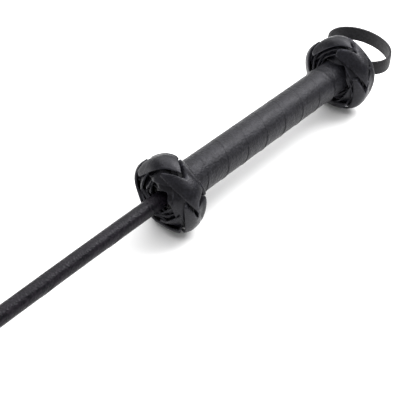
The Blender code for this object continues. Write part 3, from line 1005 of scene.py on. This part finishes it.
class KeeperSheet:
    """The keeper's one strap: round the rod's tip at both ends, and folded at the free end of the blade."""

    def __init__(self):
        low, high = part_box("keeper_blade")
        self.fold_x = low.x
        self.neck_x = high.x
        self.stop_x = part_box("keeper_upper_tail")[1].x
        self.middle_y = (low.y + high.y) / 2
        self.blade_z = (high.z + low.z) / 2
        self.tip_half_width = (high.y - low.y) / 2
        self.fold_radius = (high.z - low.z) / 2

    def tail_radius(self, x):
        return SHAFT_RADIUS + SHAFT_TAPER * (x - front_centre.x) + KEEPER_LEATHER * TAIL_SEAT_SHARE

    def gather(self, x):
        """How far the strap has closed round the rod: 0 at the neck, 1 at the binding."""
        return smooth((x - self.neck_x) / (keeper_binding.x - self.neck_x))

    def half_width(self, x):
        if x >= self.neck_x:
            tail_half = TAIL_WIDTH_SHARE * self.tail_radius(keeper_binding.x)
            return mix(KEEPER_ROOT_HALF_WIDTH, tail_half, self.gather(x))
        share = (self.neck_x - x) / (self.neck_x - self.fold_x)
        corner = max(0.0, 1 - (x - self.fold_x) / KEEPER_CORNER_LENGTH)
        return mix(KEEPER_ROOT_HALF_WIDTH, self.tip_half_width, share) - KEEPER_CORNER_CUT * corner**2

    def face(self, x, across, side):
        """A point on the outer face of the upper (side 1) or the lower (side -1) leaf."""
        height = side * (self.fold_radius - KEEPER_HOLLOW * across * across)
        plain = Vector((x, self.middle_y + self.half_width(x) * across, self.blade_z + height))
        if x <= self.neck_x:
            return plain
        angle = side * math.pi / 2 * (1 - across * TAIL_WRAP_SHARE)
        wrapped = round_shaft(x - front_centre.x, self.tail_radius(x), angle)
        return plain.lerp(Vector((x, wrapped.y, wrapped.z)), self.gather(x))

    def point(self, u, v):
        """The outer face from the end of the upper tail, round the fold, to the end of the lower tail."""
        across = 2 * u - 1
        bend_x = self.fold_x + self.fold_radius
        run = self.stop_x - bend_x
        bend = math.pi * self.fold_radius
        distance = v * (2 * run + bend)
        if distance < run:
            return self.face(self.stop_x - distance, across, 1)
        if distance > run + bend:
            return self.face(bend_x + distance - run - bend, across, -1)
        angle = (distance - run) / self.fold_radius
        x = self.fold_x + self.fold_radius * (1 - math.sin(angle))
        upper = self.face(bend_x, across, 1)
        return Vector((x, upper.y, self.blade_z + (upper.z - self.blade_z) * math.cos(angle)))


def make_keeper():
    sheet = KeeperSheet()
    bm = bmesh.new()
    add_grid(bm, sheet.point, KEEPER_COLUMNS, KEEPER_ROWS, lambda place: Vector((-1, 0, 0)))
    piece = new_object("keeper_leather", bm, [keeper_face, lace_edge])
    thicken(piece, KEEPER_LEATHER * KEEPER_LEATHER_LEFT, KEEPER_EDGE_ROUND)
    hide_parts("keeper_blade", "keeper_upper_tail", "keeper_lower_tail")
    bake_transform(piece)
    make_keeper_stitches(sheet)


def make_keeper_stitches(sheet):
    """Saddle stitches along both edges of the blade, on its upper and lower faces."""
    bm = bmesh.new()
    start_x, end_x = sheet.fold_x + STITCH_FOLD_MARGIN, sheet.neck_x - STITCH_NECK_MARGIN
    pitch = STITCH_LENGTH + STITCH_GAP
    for side, sunk in STITCH_SUNK.items():
        for across in (-STITCH_ACROSS, STITCH_ACROSS):
            for number in range(int((end_x - start_x) / pitch)):
                x = start_x + number * pitch
                start = sheet.face(x, across, side)
                end = sheet.face(x + STITCH_LENGTH, across, side)
                add_stitch(bm, start, end, side, sunk)
    piece = new_object("keeper_stitching", bm, [thread])
    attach(piece, "keeper")


def add_stitch(bm, start, end, side, sunk):
    """One stitch: a short arched tube that dips into the leather at both ends."""
    rings = []
    for step in range(STITCH_STEPS + 1):
        share = step / STITCH_STEPS
        arch = math.sin(math.pi * share)
        centre = start.lerp(end, share) + Vector((0, 0, side * (STITCH_ARCH * arch - sunk)))
        slim = STITCH_RADIUS * mix(STITCH_SLIMMEST_SHARE, 1, arch)
        rings.append(round_ring(bm, centre, Vector((0, 1, 0)), Vector((0, 0, 1)), slim, STITCH_SIDES))
    faces = join_rings(bm, rings)
    faces += [bm.faces.new(reversed(rings[0])), bm.faces.new(rings[-1])]
    bmesh.ops.recalc_face_normals(bm, faces=faces)


def make_keeper_binding():
    """Waxed thread whipped round the keeper's tails, each turn beside the last."""
    low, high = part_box("keeper_binding")
    radius = (high.z - low.z) / 2 - THREAD_RADIUS
    start, end = low.x - front_centre.x + THREAD_RADIUS, high.x - front_centre.x - THREAD_RADIUS
    turns = round((end - start) / (2 * THREAD_RADIUS))
    steps = turns * THREAD_STEPS_PER_TURN
    path = [
        round_shaft(mix(start, end, step / steps), radius, 2 * math.pi * turns * step / steps)
        for step in range(steps + 1)
    ]
    piece = tube("keeper_whipping", path, THREAD_SWELL * THREAD_RADIUS, thread)
    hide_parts("keeper_binding")
    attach(piece, "crop")


# CAD nodes that keep their shape


def dress(node, material):
    data = frame["nodes"][node].data
    data.materials.clear()
    data.materials.append(material)


def dress_nodes():
    dress("shaft_core", fibreglass)
    dress("grip_core", wood)
    dress("loop_pin", steel)
    for end in ("front", "rear"):
        dress(f"{end}_wrap_binding", thread)


# Stage


def make_stage():
    bm = bmesh.new()
    bmesh.ops.create_grid(bm, x_segments=1, y_segments=1, size=FLOOR_SIZE / 2)
    paper, shader = new_material("floor_paper", (0.93, 0.93, 0.93), 0.9, 0.1)
    floor = new_object("floor", bm, [paper])
    floor.location.z = cad_low.z - FLOOR_GAP


def add_area_light(name, offset, size, power):
    """A square soft light that faces the middle of the grip."""
    data = bpy.data.lights.new(name, "AREA")
    data.size = size
    data.energy = power
    light = bpy.data.objects.new(name, data)
    target = (front_centre + rear_centre) / 2
    light.location = target + offset
    light.rotation_euler = (-offset).to_track_quat("-Z", "Y").to_euler()
    bpy.context.scene.collection.objects.link(light)


def make_lights():
    world = bpy.data.worlds.new("studio")
    world.use_nodes = True
    background = world.node_tree.nodes["Background"]
    background.inputs["Color"].default_value = (1, 1, 1, 1)
    background.inputs["Strength"].default_value = SKY_STRENGTH
    bpy.context.scene.world = world
    add_area_light("overhead", Vector((0.35, 0.25, 1.3)), size=2.6, power=52)
    add_area_light("key", Vector((0.68, -0.24, 0.96)), size=0.7, power=11)


def make_camera():
    data = bpy.data.cameras.new("camera")
    data.lens = CAMERA_LENS
    data.clip_start = 0.01
    camera = bpy.data.objects.new("camera", data)
    camera.location = front_centre + CAMERA_OFFSET
    camera.rotation_euler = CAMERA_FORWARD.to_track_quat("-Z", "Y").to_euler()
    bpy.context.scene.collection.objects.link(camera)
    bpy.context.scene.camera = camera
    bpy.context.scene.view_settings.view_transform = "Standard"


make_camera()
make_stage()
make_lights()
make_front_knot()
make_rear_knot()
make_grip_wrap()
make_shaft_cover()
make_wrist_loop()
make_butt_cap()
make_keeper()
make_keeper_binding()
dress_nodes()
